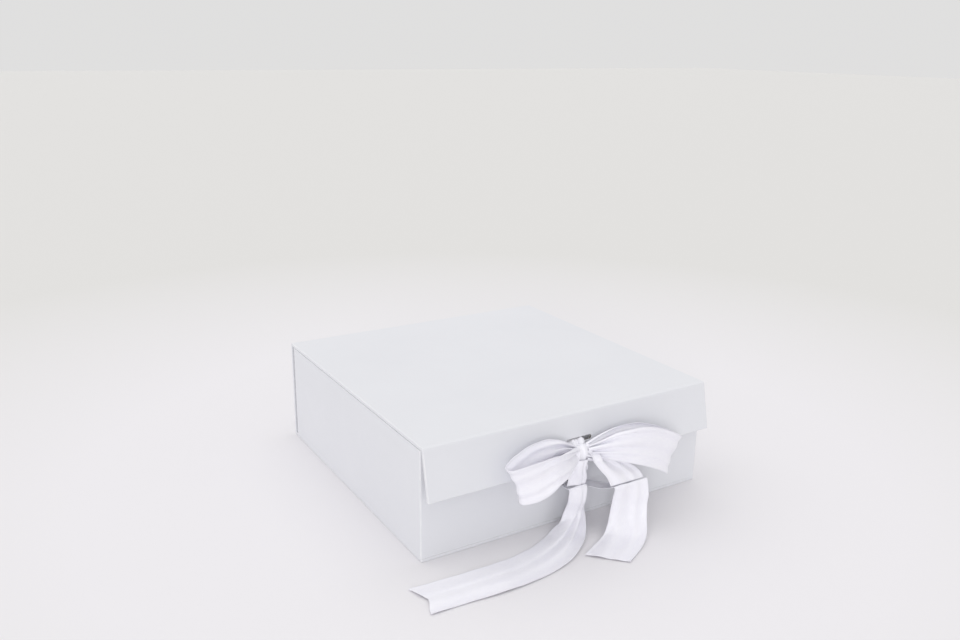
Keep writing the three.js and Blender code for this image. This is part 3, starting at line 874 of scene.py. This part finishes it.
def build_streamers(satin):
    """The two loose ends on the table, from the wall's slot. Their crests rise in front of
    the tails' ends and stay under the arc those ends sweep as the flap turns."""
    left = ribbon("left_streamer", [
        ((-2.7, -150.3, 37.3), X, 9.4, 1.4),
        ((-4, -154.5, 39.2), X, 11, 0.5),
        ((-5.3, -159.5, 40.3), X, 13, 0.35),
        ((-6.1, -164, 41.1), X, 14.2, 0.35),
        ((-6.3, -167.5, 41.9), X, 14.5, 0.35),
        ((-6.4, -170.4, 43), X, 14.7, 0.35),
        ((-6.4, -171.3, 41.7), X, 14.8, 0.6),
        ((-6.5, -171.6, 38.5), X, 14.8, 1.2),
        ((-6.5, -170.6, 29), X, 15, 2.2),
        ((-6.8, -166.8, 18), (1, -0.05, 0), 15.5),
        ((-9, -168, 10.3), (0.95, -0.35, 0), 18),
        ((-17, -174, 5.2), (0.75, -0.65, -0.1), 24, 2.0),
        ((-31, -183.5, 3.2), (0.5, -0.87, 0), 31, 1.6),
        ((-50, -193, 2.0), (0.28, -0.96, 0), 36, 1),
        ((-78, -199.5, 1.5), (0.14, -0.99, 0), 37.2, 0.5),
        ((-112, -202, 2.3), (-0.03, -1, 0), 37.2, 0.5),
        ((-146, -199.5, 1.4), (-0.08, -1, 0), 37.2, 0.5),
        ((-179, -198.5, 1.8), (0, -1, 0), 37, 0.5),
    ], "tray", satin, pleats=2.5, phase=0.9, ripple=0.25, seed=31, along=300,
        end=lambda u: 7 * (1 - abs(u)))
    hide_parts("streamer_left")
    right = ribbon("right_streamer", [
        ((7.7, -150.3, 37.2), X, 9.4, 1.4),
        ((9, -156, 37), X, 11.5, 0.8),
        ((14.5, -163, 36.6), (1, -0.05, 0), 16, 0.7),
        ((21.5, -170, 36.4), (1, -0.05, 0), 23, 0.5),
        ((27.5, -175.5, 37.3), (1, -0.03, 0), 30, 0.4),
        ((31.5, -180.2, 39.3), (1, -0.04, 0), 35, 0.3),
        ((33, -184.4, 41.4), (1, -0.02, 0), 36.8, 0.3),
        ((33.5, -187.4, 43.25), X, 37.2, 0.3),
        ((33.8, -189.5, 44.5), X, 37.2, 0.3),
        ((33.9, -190.5, 43.2), X, 37.2, 0.5),
        ((33.9, -190.9, 39), (1, -0.05, 0), 37.2, 0.9),
        ((33.9, -191.1, 31), (1, -0.15, 0), 37.2, 1.8),
        ((32.4, -191.4, 21.5), (1, -0.18, 0), 37.2),
        ((29, -194.5, 10.5), (0.96, -0.28, 0), 37.2),
        ((22.5, -201, 4), (0.85, -0.5, 0), 37.2, 1.2),
        ((11.5, -208.5, 1.9), (0.7, -0.7, 0), 37.2, 0.7),
        ((-3, -216, 1.4), (0.6, -0.8, 0), 37.2, 0.5),
        ((-17.5, -223.5, 1.8), (0.57, -0.82, 0), 37, 0.5),
    ], "tray", satin, pleats=2.5, phase=0.2, ripple=0.15, seed=37, along=220,
        end=lambda u: 3 * (1 + u))
    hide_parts("streamer_right")


# ---- Carried-over CAD nodes ----------------------------------------------------------
def dress_frame(looks):
    """Give every CAD node that stays the material of its slot."""
    slots = {s["node"]: s["material_slot"] for s in frame["record"]["subparts"]}
    for name, node in frame["nodes"].items():
        node.data.materials.clear()
        node.data.materials.append(looks[slots[name]])


def add_floor():
    reach = 12000
    vertices = [(-reach, -reach, 0), (reach, -reach, 0), (reach, reach, 0), (-reach, reach, 0)]
    floor = new_object("floor", vertices, [(0, 1, 2, 3)], floor_material())


# ---- Build ---------------------------------------------------------------------------
add_camera()
add_light()
# The lighter edge colour is partly edge wear, partly a painted highlight along the rounded edges.
wrap_paper = paper_material("wrap_paper", (0.775, 0.782, 0.818), (0.758, 0.765, 0.802),
                            (0.42, 0.54), 2200, edge=(0.86, 0.86, 0.875, 1))
liner_paper = paper_material("liner_paper", (0.86, 0.86, 0.865), (0.83, 0.83, 0.84),
                             (0.6, 0.72), 1500)
satin = satin_material()
dress_frame({
    "wrap_paper": wrap_paper,
    "liner_paper": liner_paper,
    "greyboard": greyboard_material(),
    "stay_tape": kraft_material(),
    "magnet": metal_material("nickel", (0.72, 0.71, 0.69), (0.5, 0.49, 0.47), (0.18, 0.34)),
    "steel_plate": metal_material("zinc", (0.6, 0.61, 0.63), (0.42, 0.43, 0.45), (0.3, 0.5)),
    "satin_ribbon": satin,
})
build_panels(wrap_paper)
build_folds(wrap_paper)
build_tray(wrap_paper)
build_leads(satin)
build_bow(satin)
build_streamers(satin)
add_floor()
